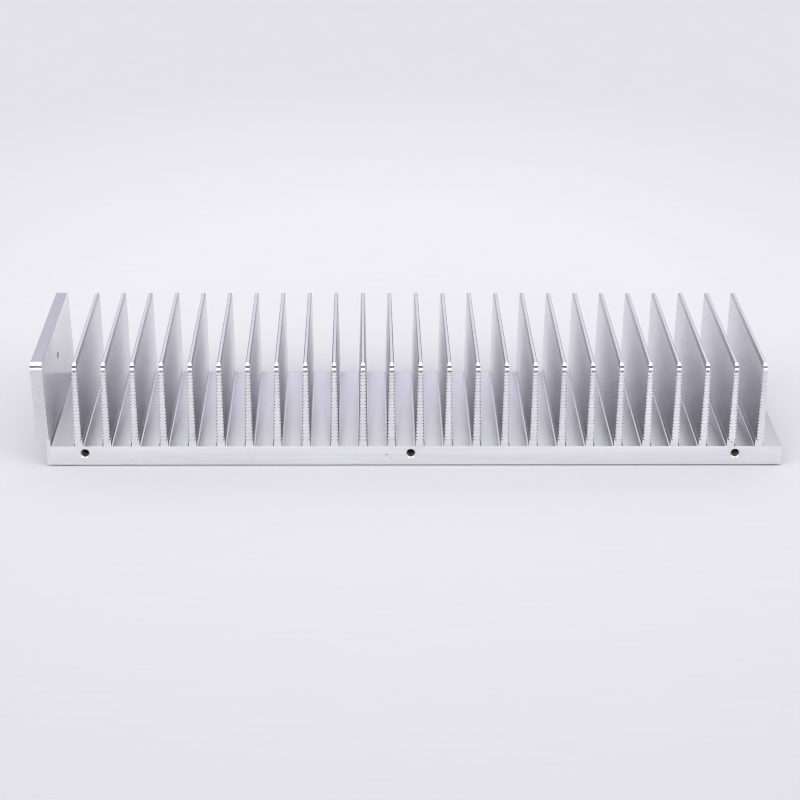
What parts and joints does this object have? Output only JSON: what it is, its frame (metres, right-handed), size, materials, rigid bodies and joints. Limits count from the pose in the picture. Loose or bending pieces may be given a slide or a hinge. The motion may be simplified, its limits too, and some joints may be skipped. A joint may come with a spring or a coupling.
{
  "type": "extruded heat sink",
  "caption": "Flat extruded aluminium heat sink: a thick base plate with a comb of upright ridged fins, a thicker end wall, and tapped holes in its milled ends.",
  "frame": {"origin": "middle of the bounding box, on the flat mounting face underneath", "axes": "+X along the row of fins, away from the end wall; +Y along the extrusion, front end to rear end; +Z from the mounting face to the fin tips"},
  "size_m": [0.3164, 0.09, 0.047],
  "materials": {
    "aluminium": "bare extruded aluminium, satin flanks, saw-cut ends, bright milled seats and noses"
  },
  "bodies": {
    "root": {"heat_sink": "aluminium"}
  },
  "joints": []
}
